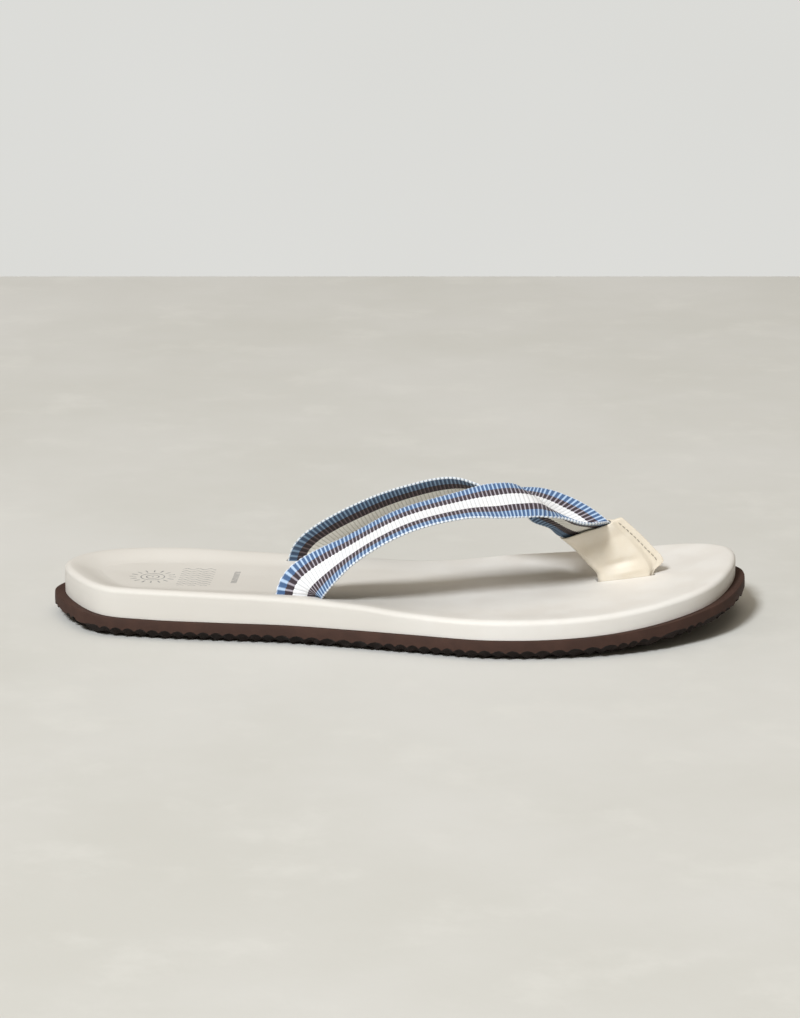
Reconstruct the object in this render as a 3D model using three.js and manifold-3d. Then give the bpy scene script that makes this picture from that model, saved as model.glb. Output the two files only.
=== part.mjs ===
// Thong sandal for the right foot: rubber outsole, foam footbed, two ribbon straps and a leather
// toe sleeve. Millimetres. +X points to the toes, +Y to the big-toe side and +Z up. The origin is on
// the ground under the middle of the sole.
import * as THREE from 'three';
import { mergeVertices } from 'three/addons/utils/BufferGeometryUtils.js';
import Module from 'manifold-3d';

const wasm = await Module();
wasm.setup();

// ---- Driving dimensions ----
const GAP = 0.3;                    // clearance between neighbouring pieces
const OUTSOLE_THICKNESS = 8;
const OUTSOLE_EDGE_RISE = 1.8;      // height of the sole's rim above the ground
const FOOTBED_RIM_RADIUS = 2.2;
const FOOTBED_RIM_HEIGHT = 0.8;     // of the rounded rim, as a share of its radius
const STATIONS = 44;                // rows of faces along a slab
const TOE_SPRING = { start: 52, end: 142, rise: 8 };
const HEEL_LIFT = { start: -85, end: -142, rise: 1.5 };

const RIBBON_WIDTH = 20;
const RIBBON_THICKNESS = 1.2;
const REAR_TAIL_LENGTH = 20;        // ribbon glued flat under the footbed, behind each slot
const TOE_TAIL_LENGTH = 13;
const FOLD_RADIUS = 1;              // where a ribbon folds from its slot to the underside

const LEATHER_THICKNESS = 0.9;
const MOUTH_FLARE = 1.2;            // each side of the sleeve opens this much at its mouth
const SLEEVE_POCKET = 22.4;         // from the rear fold; beyond it the two layers are sewn together
const POST_ANGLE = THREE.MathUtils.degToRad(13);
const POST_FOOT = new THREE.Vector3(66, 6.5, 0);  // below the rear corner of the sleeve's mouth

const PATCH_THICKNESS = 0.8;
const THREAD_THICKNESS = 0.5;
const SEAM_FROM_EDGE = 2.6;          // the seam's distance from the sleeve's front edge
const TACK = { length: 14, width: 2, fromSlot: 10 };  // bar tack across a ribbon's tail

// Heights inside the recesses of the footbed's underside, with the sole laid flat
const FOOTBED_BOTTOM = OUTSOLE_THICKNESS + GAP;
const TAIL_HEIGHT = FOOTBED_BOTTOM + PATCH_THICKNESS + GAP + RIBBON_THICKNESS / 2;
const TACK_BOTTOM = TAIL_HEIGHT + RIBBON_THICKNESS / 2 + GAP;
const RECESS_CEILING = TACK_BOTTOM + THREAD_THICKNESS + GAP;

// Outline of the footbed, from the heel's tip along the outer side of the foot to the toe's tip, and
// back along the big-toe side. Both sides have the same number of points.
const OUTER_SIDE = [
  [-138, 3], [-131, -16], [-118, -31.5], [-98, -35.8], [-70, -38], [-42, -39.8], [-15, -44.6],
  [10, -49.8], [38, -55.2], [66, -53], [90, -46.5], [112, -33.5], [129, -14],
];
const BIG_TOE_SIDE = [
  [138, 22], [134.5, 42], [120, 53.5], [98, 55.3], [72, 53], [46, 47.5], [20, 37.5], [-6, 30.5],
  [-36, 29.2], [-66, 30.6], [-97, 32.8], [-119, 28.8], [-133, 18],
];
// Footbed thickness at the rim, and the depth of its dish, along the foot
const RIM_THICKNESS = [
  [-141, 12], [-90, 12.6], [-60, 12.1], [-30, 11.3], [-10, 10.4], [5, 8.8], [20, 8.2], [141, 8.4],
];
const DISH_DEPTH = [[-141, 3], [-90, 3], [-37, 1.8], [30, 1], [141, 1]];
const DISH_SLOPE = { from: 0.8, to: 9 };   // distances from the rim

// The slots that the ribbons go down into: rear ones by their middle and direction
const REAR_SLOT = { length: 22, width: 2.6 };
const OUTER_SLOT = { x: -37.5, y: -31.5, angle: THREE.MathUtils.degToRad(-4), inward: 1 };
const INNER_SLOT = { x: -37.5, y: 21.2, angle: THREE.MathUtils.degToRad(1), inward: -1 };
const REAR_FLOOR = 18.6;             // height of the footbed's surface at the rear slots
const SLOT_FOOT = 12.5;              // below here a ribbon turns towards its tail
const RECESS_MARGIN = 3;             // the rear recesses pass their slot's ends by this much

// Cross-sections of each ribbon from its rear slot to the toe sleeve: its edge nearest the middle of
// the foot, its other edge, and how far the middle is crowned from the line between them.
const LATERAL_ARCH = [
  [[-40.5, -27, 30.5], [-28, -37, 19], 0],
  [[-19, -24.5, 42], [-15, -43, 35], 0.5],
  [[1.5, -22, 52.5], [7, -40.5, 48], 0.5],
  [[25.5, -17, 59], [30.5, -35, 53], 0.5],
  [[37.5, -14.5, 62], [43.5, -30.5, 52], 0.5],
  [[47.5, -10.5, 61], [52.5, -27, 51.5], -1],
  [[52, -7, 56], [59, -24, 51], -3],
  [[53, -5.5, 45.5], [68.5, -16.5, 48.5], -3.5],
  [[62, 1, 40], [76, -10.5, 45], -1],
];
const MEDIAL_ARCH = [
  [[-40, 16.5, 32], [-26.5, 26, 21], -1],
  [[-18.5, 16.5, 45], [-12.5, 28, 30.5], -2],
  [[0.5, 16.5, 52.5], [5.5, 28.5, 37.5], -1],
  [[21, 15, 57], [24, 28, 42.5], -0.5],
  [[39.5, 9.5, 52.5], [42.5, 29, 48.5], -0.5],
  [[48, 8.5, 50], [52, 27.5, 50], -1.5],
  [[56.5, 7, 48.5], [59.5, 26, 50], -2.5],
  [[61, 7, 43.5], [72.5, 21.5, 46.5], -2.5],
];
// The sleeve's rear and front edges, as distance along the post's plane and height above the ground
const SLEEVE_EDGES = [
  [[0, 34.4], [25.5, 41.8]],
  [[6, 29.2], [32, 35.8]],
  [[11.5, 23], [38, 29.5]],
  [[15.4, 18.6], [43, 23]],
  [[16, 16], [39.2, 18.8]],
  [[16.2, 13.2], [39, 15.2]],
];

const MATERIALS = {
  rubber: { color: 0x40302b, roughness: 0.8, metalness: 0 },
  foam: { color: 0xdad6cf, roughness: 0.75, metalness: 0 },
  ribbon: { color: 0x6f8fb5, roughness: 0.85, metalness: 0 },
  leather: { color: 0xded5c4, roughness: 0.65, metalness: 0 },
  thread: { color: 0xcfc7b8, roughness: 0.8, metalness: 0 },
  felt: { color: 0xb9b2a6, roughness: 0.95, metalness: 0 },
};

// ---- Small helpers ----
const lerp = THREE.MathUtils.lerp;
const smoothstep = THREE.MathUtils.smoothstep;

// Value at x of a line through [x, value] points
function along(table, x) {
  const next = table.findIndex(([tx]) => tx >= x);
  if (next === 0) return table[0][1];
  if (next < 0) return table[table.length - 1][1];
  const [x0, v0] = table[next - 1];
  const [x1, v1] = table[next];
  return lerp(v0, v1, (x - x0) / (x1 - x0));
}

// How far the sole curves up off the ground at x
function lift(x) {
  const toe = Math.max(0, (x - TOE_SPRING.start) / (TOE_SPRING.end - TOE_SPRING.start));
  const heel = Math.max(0, (x - HEEL_LIFT.start) / (HEEL_LIFT.end - HEEL_LIFT.start));
  return TOE_SPRING.rise * toe ** 2 + HEEL_LIFT.rise * heel ** 2;
}

// Curves a piece that was made flat to the sole's toe spring and heel lift
function bend(geometry) {
  const position = geometry.attributes.position;
  for (let i = 0; i < position.count; i += 1) {
    position.setZ(i, position.getZ(i) + lift(position.getX(i)));
  }
  return geometry;
}

// Merges shared vertices and drops the triangles that collapse
function weld(geometry) {
  const bare = geometry.clone();
  bare.deleteAttribute('normal');
  bare.deleteAttribute('uv');
  const merged = mergeVertices(bare, 1e-4);
  const kept = [];
  for (let i = 0; i < merged.index.count; i += 3) {
    const corners = [0, 1, 2].map((k) => merged.index.getX(i + k));
    if (new Set(corners).size === 3) kept.push(...corners);
  }
  merged.setIndex(kept);
  return merged;
}

function toSolid(geometry) {
  const welded = weld(geometry);
  return new wasm.Manifold(new wasm.Mesh({
    numProp: 3,
    vertProperties: new Float32Array(welded.attributes.position.array),
    triVerts: new Uint32Array(welded.index.array),
  }));
}

function toGeometry(solid) {
  const mesh = solid.getMesh();
  const geometry = new THREE.BufferGeometry();
  geometry.setAttribute('position', new THREE.BufferAttribute(mesh.vertProperties, 3));
  geometry.setIndex(new THREE.BufferAttribute(mesh.triVerts, 1));
  return geometry;
}

// Joins rings of points into a closed body with flat ends. Rings run anticlockwise seen from the end.
function loft(rings) {
  const size = rings[0].length;
  const points = rings.flat();
  const index = [];
  for (let r = 0; r < rings.length - 1; r += 1) {
    for (let i = 0; i < size; i += 1) {
      const a = r * size + i;
      const b = r * size + ((i + 1) % size);
      index.push(a, b, b + size, a, b + size, a + size);
    }
  }
  const last = (rings.length - 1) * size;
  for (let i = 1; i < size - 1; i += 1) {
    index.push(0, i + 1, i, last, last + i, last + i + 1);
  }
  const geometry = new THREE.BufferGeometry().setFromPoints(points);
  geometry.setIndex(index);
  return geometry;
}

// ---- Sole ----
const outline = new THREE.CatmullRomCurve3(
  [...OUTER_SIDE, ...BIG_TOE_SIDE].map(([x, y]) => new THREE.Vector3(x, y, 0)),
  true,
);

// Point of the outline at u, moved outwards by margin(outward direction)
function rimPoint(u, margin) {
  const turn = (u + 1) % 1;
  const point = outline.getPoint(turn);
  const tangent = outline.getTangent(turn);
  const outward = new THREE.Vector3(tangent.y, -tangent.x, 0);
  return point.addScaledVector(outward, margin(outward));
}

// The outsole shows as a ledge round the footbed: wide at the heel and at the outer side of the toe,
// and narrow along the sides
function ledge(outward) {
  const share = outward.x > 0 ? 1 - smoothstep(outward.y, 0, 0.6) : 1;
  return 1 + 3.5 * share * outward.x ** 2;
}
const flush = () => 0;

// A slab with the sole's outline. heights(x, y, distance from the rim) gives its [bottom, top].
function soleSlab(margin, fractions, heights) {
  const rimPoints = 240;
  const rim = Array.from({ length: rimPoints }, (_, i) => rimPoint(i / rimPoints, margin));
  const rimDistance = (x, y) => Math.min(...rim.map((p) => Math.hypot(p.x - x, p.y - y)));
  const lower = [];
  const upper = [];
  for (let s = 0; s <= STATIONS; s += 1) {
    const outer = rimPoint((0.5 * s) / STATIONS, margin);
    const inner = rimPoint(1 - (0.5 * s) / STATIONS, margin);
    for (const fraction of fractions) {
      const x = lerp(outer.x, inner.x, fraction);
      const y = lerp(outer.y, inner.y, fraction);
      const onRim = fraction === 0 || fraction === 1 || s === 0 || s === STATIONS;
      const [bottom, top] = heights(x, y, onRim ? 0 : rimDistance(x, y));
      lower.push(new THREE.Vector3(x, y, bottom));
      upper.push(new THREE.Vector3(x, y, top));
    }
  }
  const row = fractions.length;
  const layer = lower.length;
  const index = [];
  const face = (a, b, c, d) => index.push(a, b, c, a, c, d);
  for (let s = 0; s < STATIONS; s += 1) {
    for (let f = 0; f < row - 1; f += 1) {
      const a = s * row + f;
      face(a, a + 1, a + row + 1, a + row);
      face(layer + a, layer + a + row, layer + a + row + 1, layer + a + 1);
    }
    const outer = s * row;
    const inner = s * row + row - 1;
    face(outer, outer + row, layer + outer + row, layer + outer);
    face(inner + row, inner, layer + inner, layer + inner + row);
  }
  const geometry = new THREE.BufferGeometry().setFromPoints([...lower, ...upper]);
  geometry.setIndex(index);
  return geometry;
}

function footbedHeights(x, y, rimDistance) {
  const thickness = along(RIM_THICKNESS, x);
  const dish = along(DISH_DEPTH, x) * smoothstep(rimDistance, DISH_SLOPE.from, DISH_SLOPE.to);
  const inside = Math.max(0, FOOTBED_RIM_RADIUS - rimDistance);
  const rounding = FOOTBED_RIM_RADIUS - Math.sqrt(FOOTBED_RIM_RADIUS ** 2 - inside ** 2);
  return [FOOTBED_BOTTOM, OUTSOLE_THICKNESS + thickness - dish - rounding * FOOTBED_RIM_HEIGHT];
}

function outsoleHeights(x, y, rimDistance) {
  const rise = OUTSOLE_EDGE_RISE * (1 - smoothstep(rimDistance, 0, 6));
  return [rise, OUTSOLE_THICKNESS];
}

// A block between two heights, for the slots and recesses of the footbed
function block(length, depth, bottom, top, middle, angle) {
  const box = new THREE.BoxGeometry(length, depth, top - bottom, 4, 1, 1);
  box.translate(0, 0, (top + bottom) / 2);
  box.rotateZ(angle);
  box.translate(middle.x, middle.y, 0);
  return box;
}

// ---- Places in the slots' own directions ----
// Rear slot: `side` runs along the slot and `inward` towards the middle of the foot
function slotPoint(slot, side, inward, z) {
  const cos = Math.cos(slot.angle);
  const sin = Math.sin(slot.angle);
  const across = slot.inward * inward;
  return new THREE.Vector3(slot.x + side * cos - across * sin, slot.y + side * sin + across * cos, z);
}

// Toe post: `side` runs along the post's upright plane, and `off` is the distance from that plane
const postSide = new THREE.Vector3(Math.cos(POST_ANGLE), Math.sin(POST_ANGLE), 0);
const postNormal = new THREE.Vector3(-Math.sin(POST_ANGLE), Math.cos(POST_ANGLE), 0);

function postPoint(side, off, z) {
  const point = POST_FOOT.clone().addScaledVector(postSide, side).addScaledVector(postNormal, off);
  return point.setZ(z);
}

// ---- Footbed and outsole ----
const SLEEVE_HALF = 1.5 * GAP + RIBBON_THICKNESS + LEATHER_THICKNESS;
const SEAM_HALF = LEATHER_THICKNESS + GAP / 4;
const RIBBON_INSET = LEATHER_THICKNESS + 0.4;    // from the sleeve's rear edge to a ribbon's edge
const TOE_SLOT = { from: 15.2, to: 39.6 };       // along the post's plane
const CLEAR = 2 * GAP;

function toeBlock(inset, halfDepth, bottom, top) {
  const middle = postPoint((TOE_SLOT.from + TOE_SLOT.to) / 2, 0, 0);
  const length = TOE_SLOT.to - TOE_SLOT.from - 2 * inset;
  return block(length, 2 * halfDepth, bottom, top, middle, POST_ANGLE);
}

function rearBlock(slot, length, from, to, bottom, top) {
  const middle = slotPoint(slot, 0, (from + to) / 2, 0);
  return block(length, to - from, bottom, top, middle, slot.angle);
}

function makeFootbed() {
  const fractions = [0, 0.015, 0.035, 0.08, 0.2, 0.5, 0.8, 0.92, 0.965, 0.985, 1];
  const above = 40;
  let solid = toSolid(soleSlab(flush, fractions, footbedHeights));
  for (const slot of [OUTER_SLOT, INNER_SLOT]) {
    const half = REAR_SLOT.width / 2;
    const tail = FOLD_RADIUS + REAR_TAIL_LENGTH + CLEAR;
    solid = solid.subtract(toSolid(rearBlock(slot, REAR_SLOT.length, -half, half, 0, above)));
    const recess = REAR_SLOT.length + 2 * RECESS_MARGIN;
    solid = solid.subtract(toSolid(rearBlock(slot, recess, -half, tail, 0, RECESS_CEILING)));
  }
  const toeReach = RIBBON_THICKNESS + FOLD_RADIUS + TOE_TAIL_LENGTH + CLEAR;
  solid = solid.subtract(toSolid(toeBlock(0, SLEEVE_HALF + GAP, 0, above)));
  solid = solid.subtract(toSolid(toeBlock(0, toeReach, 0, RECESS_CEILING)));
  return bend(toGeometry(solid));
}

function makeOutsole() {
  const fractions = [0, 0.02, 0.07, 0.3, 0.7, 0.93, 0.98, 1];
  return bend(weld(soleSlab(ledge, fractions, outsoleHeights)));
}

// ---- Ribbons ----
// A band through sections [edge, other edge, crown]. It keeps its width whatever the edges' distance.
function band(sections, width, thickness) {
  const middle = sections.map(([a, b]) => a.clone().lerp(b, 0.5));
  const rings = sections.map(([a, b, crown = 0], i) => {
    const before = middle[Math.max(i - 1, 0)];
    const after = middle[Math.min(i + 1, middle.length - 1)];
    const travel = after.clone().sub(before).normalize();
    const across = b.clone().sub(a).normalize();
    const normal = travel.clone().cross(across).normalize();
    const halfChord = width / 2 - (4 * crown ** 2) / (3 * width);
    const face = (side) => [1, 0.5, 0, -0.5, -1].map((share) => middle[i].clone()
      .addScaledVector(across, share * halfChord)
      .addScaledVector(normal, crown * (1 - share ** 2) + (side * thickness) / 2));
    return [...face(1), ...face(-1).reverse()];
  });
  return loft(rings);
}

// The ribbon's way under the footbed, from its end to the foot of the slot
function tailSteps(length) {
  const half = Math.SQRT1_2 * FOLD_RADIUS;
  return [
    [FOLD_RADIUS + length, TAIL_HEIGHT],
    [FOLD_RADIUS, TAIL_HEIGHT],
    [FOLD_RADIUS - half, TAIL_HEIGHT + FOLD_RADIUS - half],
    [0, TAIL_HEIGHT + FOLD_RADIUS],
  ];
}

function edgePair(place) {
  return [place(-RIBBON_WIDTH / 2), place(RIBBON_WIDTH / 2)];
}

function rearTail(slot) {
  return tailSteps(REAR_TAIL_LENGTH).map(([inward, z]) => (
    edgePair((side) => slotPoint(slot, side, inward, z))));
}

// The toe tail of one ribbon, from the slot outwards. face is -1 on the outer side of the foot.
function toeTail(face) {
  const start = TOE_SLOT.from + GAP + RIBBON_INSET + RIBBON_WIDTH / 2;
  const offset = RIBBON_THICKNESS / 2 + GAP / 2;
  const steps = tailSteps(TOE_TAIL_LENGTH).reverse();
  return steps.map(([away, z]) => edgePair((side) => {
    const point = postPoint(start + side, face * (offset + away), z);
    return point.setZ(z + lift(point.x));
  }));
}

// A ribbon's edges where it runs inside the sleeve
function insideSleeve(face) {
  const offset = face * (RIBBON_THICKNESS / 2 + GAP / 2);
  return SLEEVE_EDGES.map(([rear, front]) => {
    const start = postPoint(rear[0], offset, rear[1]);
    const across = postPoint(front[0], offset, front[1]).sub(start).normalize();
    return [RIBBON_INSET, RIBBON_INSET + RIBBON_WIDTH].map((inset) => (
      start.clone().addScaledVector(across, inset)));
  });
}

// Smooth sections through the given ones, with `steps` between neighbours
function smoothSections(sections, steps) {
  const edges = [0, 1].map((edge) => (
    new THREE.CatmullRomCurve3(sections.map((section) => section[edge]))));
  const crowns = sections.map(([, , crown = 0], i) => [i, crown]);
  const count = (sections.length - 1) * steps;
  return Array.from({ length: count + 1 }, (_, i) => (
    [...edges.map((edge) => edge.getPoint(i / count)), along(crowns, i / steps)]));
}

function makeStrap(slot, arch, face) {
  const inSlot = [SLOT_FOOT, REAR_FLOOR].map((z) => edgePair((side) => slotPoint(slot, side, 0, z)));
  const shown = arch.map(([a, b, crown]) => [new THREE.Vector3(...a), new THREE.Vector3(...b), crown]);
  const [mouth, ...below] = insideSleeve(face);
  const smooth = smoothSections([...inSlot, ...shown, mouth], 4);
  const sections = [...rearTail(slot), ...smooth, ...below, ...toeTail(face)];
  return band(sections, RIBBON_WIDTH, RIBBON_THICKNESS);
}

// ---- Toe sleeve ----
// Rings of the sleeve from its mouth down. section gives [distance from the rear edge, offset] points.
function sleeveRings(edges, flares, section) {
  return edges.map(([rear, front], i) => {
    const start = postPoint(rear[0], 0, rear[1]);
    const reach = postPoint(front[0], 0, front[1]).sub(start);
    const across = reach.clone().normalize();
    return section(reach.length(), flares[i]).map(([inset, off]) => start.clone()
      .addScaledVector(across, inset)
      .addScaledVector(postNormal, off));
  });
}

// Outside of the folded leather: round at the rear fold, thin at the seam
function sleeveOutside(width, flare) {
  const thick = SLEEVE_HALF + flare;
  const flat = Math.min(SLEEVE_POCKET + 1.1, width - 0.1);
  const half = [
    [0, 0.35 * thick], [0.35, 0.75 * thick], [1.1, thick],
    [SLEEVE_POCKET, thick], [flat, SEAM_HALF], [width, SEAM_HALF],
  ];
  return [...half, ...half.map(([x, y]) => [x, -y]).reverse()];
}

function sleevePocket(width, flare) {
  const start = RIBBON_INSET - CLEAR;
  const end = start + RIBBON_WIDTH + 2 * CLEAR;
  const half = SLEEVE_HALF - LEATHER_THICKNESS + flare;
  return [[start, half], [end, half], [end, -half], [start, -half]];
}

// The edge pairs with both ends drawn out, so that the pocket cuts right through
function drawnOut(edges) {
  const extend = (from, to) => from.map((pair, i) => pair.map((v, k) => v + 0.5 * (v - to[i][k])));
  const last = edges.length - 1;
  return [
    extend(edges[0], edges[1]), ...edges, extend(edges[last], edges[last - 1]),
  ];
}

function makeSleeve() {
  const flares = SLEEVE_EDGES.map((_, i) => (i === 0 ? MOUTH_FLARE : 0));
  const outside = toSolid(loft(sleeveRings(SLEEVE_EDGES, flares, sleeveOutside)));
  const longer = [1.5 * MOUTH_FLARE, ...flares, 0];
  const pocket = toSolid(loft(sleeveRings(drawnOut(SLEEVE_EDGES), longer, sleevePocket)));
  return toGeometry(outside.subtract(pocket));
}

// One of the two threads of the sleeve's front seam, lying on one face of the leather
function makeSeamThread(face) {
  const edge = new THREE.CatmullRomCurve3(SLEEVE_EDGES.slice(0, 4).map(([rear, front]) => {
    const start = postPoint(rear[0], face * (SEAM_HALF + GAP + THREAD_THICKNESS / 2), rear[1]);
    const end = postPoint(front[0], face * (SEAM_HALF + GAP + THREAD_THICKNESS / 2), front[1]);
    return end.addScaledVector(start.sub(end).normalize(), SEAM_FROM_EDGE);
  }));
  const half = THREAD_THICKNESS / 2;
  const section = new THREE.Shape([[1, 1], [-1, 1], [-1, -1], [1, -1]].map(([x, y]) => (
    new THREE.Vector2(half * x, half * y))));
  return weld(new THREE.ExtrudeGeometry(section, { steps: 16, extrudePath: edge }));
}

// ---- Hidden anchors ----
// A reinforcing patch between a ribbon's tail and the outsole
function makeRearPatch(slot) {
  const tail = FOLD_RADIUS + REAR_TAIL_LENGTH;
  return rearBlock(slot, REAR_SLOT.length + 4, 1, tail, FOOTBED_BOTTOM, FOOTBED_BOTTOM + PATCH_THICKNESS);
}

function makeToePatch() {
  const half = FOLD_RADIUS + TOE_TAIL_LENGTH;
  return bend(toeBlock(CLEAR, half, FOOTBED_BOTTOM, FOOTBED_BOTTOM + PATCH_THICKNESS));
}

// A bar tack: thread packed into a solid bar, sewn through a tail and its patch
function makeTack(middle, angle) {
  return bend(block(TACK.length, TACK.width, TACK_BOTTOM, TACK_BOTTOM + THREAD_THICKNESS, middle, angle));
}

function makeRearTack(slot) {
  return makeTack(slotPoint(slot, 0, TACK.fromSlot, 0), slot.angle);
}

function makeToeTack(face) {
  const middle = postPoint((TOE_SLOT.from + TOE_SLOT.to) / 2, face * TACK.fromSlot, 0);
  return makeTack(middle, POST_ANGLE);
}

const PARTS = [
  ['outsole', makeOutsole, 'rubber'],
  ['footbed', makeFootbed, 'foam'],
  ['lateral_strap', () => makeStrap(OUTER_SLOT, LATERAL_ARCH, -1), 'ribbon'],
  ['medial_strap', () => makeStrap(INNER_SLOT, MEDIAL_ARCH, 1), 'ribbon'],
  ['toe_sleeve', makeSleeve, 'leather'],
  ['outer_seam_thread', () => makeSeamThread(-1), 'thread'],
  ['inner_seam_thread', () => makeSeamThread(1), 'thread'],
  ['lateral_anchor_patch', () => makeRearPatch(OUTER_SLOT), 'felt'],
  ['medial_anchor_patch', () => makeRearPatch(INNER_SLOT), 'felt'],
  ['toe_anchor_patch', makeToePatch, 'felt'],
  ['lateral_strap_tack', () => makeRearTack(OUTER_SLOT), 'thread'],
  ['medial_strap_tack', () => makeRearTack(INNER_SLOT), 'thread'],
  ['lateral_toe_tack', () => makeToeTack(-1), 'thread'],
  ['medial_toe_tack', () => makeToeTack(1), 'thread'],
];

const sandal = new THREE.Group();
for (const [name, make, finish] of PARTS) {
  const mesh = new THREE.Mesh(make(), new THREE.MeshStandardMaterial(MATERIALS[finish]));
  mesh.name = name;
  sandal.add(mesh);
}

export default sandal;
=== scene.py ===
"""The looks of a thong sandal: foam footbed, treaded outsole, two grosgrain ribbons and a leather sleeve.

Lengths are millimetres in the part's frame, +X to the toes, +Y to the big-toe side and +Z up. They
become metres when a mesh is made.
"""

import math

import bmesh
import bpy
import numpy as np
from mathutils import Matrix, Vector
from mathutils.geometry import delaunay_2d_cdt


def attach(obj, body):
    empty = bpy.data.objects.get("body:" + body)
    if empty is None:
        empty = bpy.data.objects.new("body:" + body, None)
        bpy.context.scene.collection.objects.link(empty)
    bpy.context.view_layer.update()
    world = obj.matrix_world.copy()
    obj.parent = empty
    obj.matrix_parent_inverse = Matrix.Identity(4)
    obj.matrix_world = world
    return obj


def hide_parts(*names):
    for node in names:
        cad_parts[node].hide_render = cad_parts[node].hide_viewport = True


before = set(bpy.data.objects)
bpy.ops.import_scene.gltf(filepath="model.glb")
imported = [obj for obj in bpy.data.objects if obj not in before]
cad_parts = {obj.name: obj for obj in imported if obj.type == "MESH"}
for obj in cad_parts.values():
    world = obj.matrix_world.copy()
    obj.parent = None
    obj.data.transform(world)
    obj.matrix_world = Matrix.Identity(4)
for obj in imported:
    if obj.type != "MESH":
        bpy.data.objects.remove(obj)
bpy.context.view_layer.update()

MM = 0.001
GAP = 0.3  # clearance between neighbouring pieces

# ---- Sole ----
OUTSOLE_THICKNESS = 8
OUTSOLE_TOP = OUTSOLE_THICKNESS + 0.25  # just short of the footbed
OUTSOLE_EDGE_RISE = 3.0  # of the underside along its edge
OUTSOLE_EDGE_SLOPE = (0.8, 3.4)  # the rise begins to fall and is gone at these distances from the edge
# The outsole's ledge round the footbed. It narrows where the toe's edge faces the big-toe side, by "fade"
LEDGE = {"least": 1, "extra": 3.5, "fade": (-0.2, 0.45)}
FOOTBED_BOTTOM = OUTSOLE_THICKNESS + GAP
RIM_RADIUS = 2.6
RIM_HEIGHT = 0.8  # of the rounded rim, as a share of its radius
TOE_SPRING = {"start": 52, "end": 142, "rise": 8}
HEEL_LIFT = {"start": -85, "end": -142, "rise": 1.5}
OUTER_SIDE = [
    (-138, 3), (-131, -16), (-118, -31.5), (-98, -35.8), (-70, -38), (-42, -39.8), (-15, -44.6),
    (10, -49.8), (38, -55.2), (66, -53), (90, -46.5), (112, -33.5), (129, -14),
]
BIG_TOE_SIDE = [
    (138, 22), (134.5, 42), (120, 53.5), (98, 55.3), (72, 53), (46, 47.5), (20, 37.5), (-6, 30.5),
    (-36, 29.2), (-66, 30.6), (-97, 32.8), (-119, 28.8), (-133, 18),
]
RIM_THICKNESS = [
    (-141, 12), (-90, 12.6), (-60, 12.1), (-30, 11.3), (-10, 10.4), (5, 8.8), (20, 8.2), (141, 8.4),
]
DISH_DEPTH = [(-141, 3), (-90, 3), (-37, 1.8), (30, 1), (141, 1)]
DISH_SLOPE = (1.5, 16)  # the dish begins and is full at these distances from the rim
MIDDLE_DIP = {"depth": 0.5, "slope": (12, 30)}
TREAD = {"pitch": 5.5, "depth": 1.2, "swing": 3, "leg": 8}

# ---- Ribbons ----
RIBBON = {"width": 20, "thickness": 1.2, "rear_tail": 20, "toe_tail": 13, "fold": 1, "rib_pitch": 1.66}
REAR_SLOT = {"length": 21, "width": 1.9, "recess": 28}
OUTER_SLOT = {"x": -37.5, "y": -31.5, "angle": math.radians(-4), "inward": 1}
INNER_SLOT = {"x": -37.5, "y": 21.2, "angle": math.radians(1), "inward": -1}
REAR_FLOOR = 18.6  # height of the footbed's surface at the rear slots
SLOT_FOOT = 12.5
# Cross-sections of each ribbon: the edge nearest the middle of the foot, the other edge, and how far
# the middle is crowned from the line between them
LATERAL_ARCH = [
    ((-40.5, -27, 30.5), (-28, -37, 19), 0),
    ((-19, -24.5, 42), (-15, -43, 35), 0.5),
    ((1.5, -22, 52.5), (7, -40.5, 48), 0.5),
    ((25.5, -17, 59), (30.5, -35, 53), 0.5),
    ((37.5, -14.5, 62), (43.5, -30.5, 52), 0.5),
    ((47.5, -10.5, 61), (52.5, -27, 51.5), -1),
    ((52, -7, 56), (59, -24, 51), -3),
    ((53, -5.5, 45.5), (68.5, -16.5, 48.5), -3.5),
    ((62, 1, 40), (76, -10.5, 45), -1),
]
MEDIAL_ARCH = [
    ((-40, 16.5, 32), (-26.5, 26, 21), -1),
    ((-18.5, 16.5, 45), (-12.5, 28, 30.5), -2),
    ((0.5, 16.5, 52.5), (5.5, 28.5, 37.5), -1),
    ((21, 15, 57), (24, 28, 42.5), -0.5),
    ((39.5, 9.5, 52.5), (42.5, 29, 48.5), -0.5),
    ((48, 8.5, 50), (52, 27.5, 50), -1.5),
    ((56.5, 7, 48.5), (59.5, 26, 50), -2.5),
    ((61, 7, 43.5), (72.5, 21.5, 46.5), -2.5),
]

# ---- Toe sleeve ----
LEATHER = 0.9
SLEEVE_POCKET = 22.4  # from the rear fold; beyond it the two layers are sewn together
SEAM_FROM_EDGE = 2.6
POST_ANGLE = math.radians(13)
POST_FOOT = np.array((66, 6.5, 0))
POST_SIDE = np.array((math.cos(POST_ANGLE), math.sin(POST_ANGLE), 0))
POST_NORMAL = np.array((-math.sin(POST_ANGLE), math.cos(POST_ANGLE), 0))
TOE_SLOT = (15.2, 39.6)  # along the post's plane
SLEEVE_REAR = [(0, 34.4), (6, 29.2), (11.5, 23), (15.4, 18.6), (16, 16), (16.2, 13.2)]
SLEEVE_FRONT = [(25.5, 41.8), (32, 35.8), (38, 29.5), (43, 23), (39.2, 18.8), (39, 15.2)]
SLEEVE_HALF = 1.5 * GAP + RIBBON["thickness"] + LEATHER
SEAM_HALF = LEATHER + GAP / 4
RIBBON_INSET = LEATHER + 0.4  # from the sleeve's rear edge to a ribbon's edge
CLEAR = 2 * GAP

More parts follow.
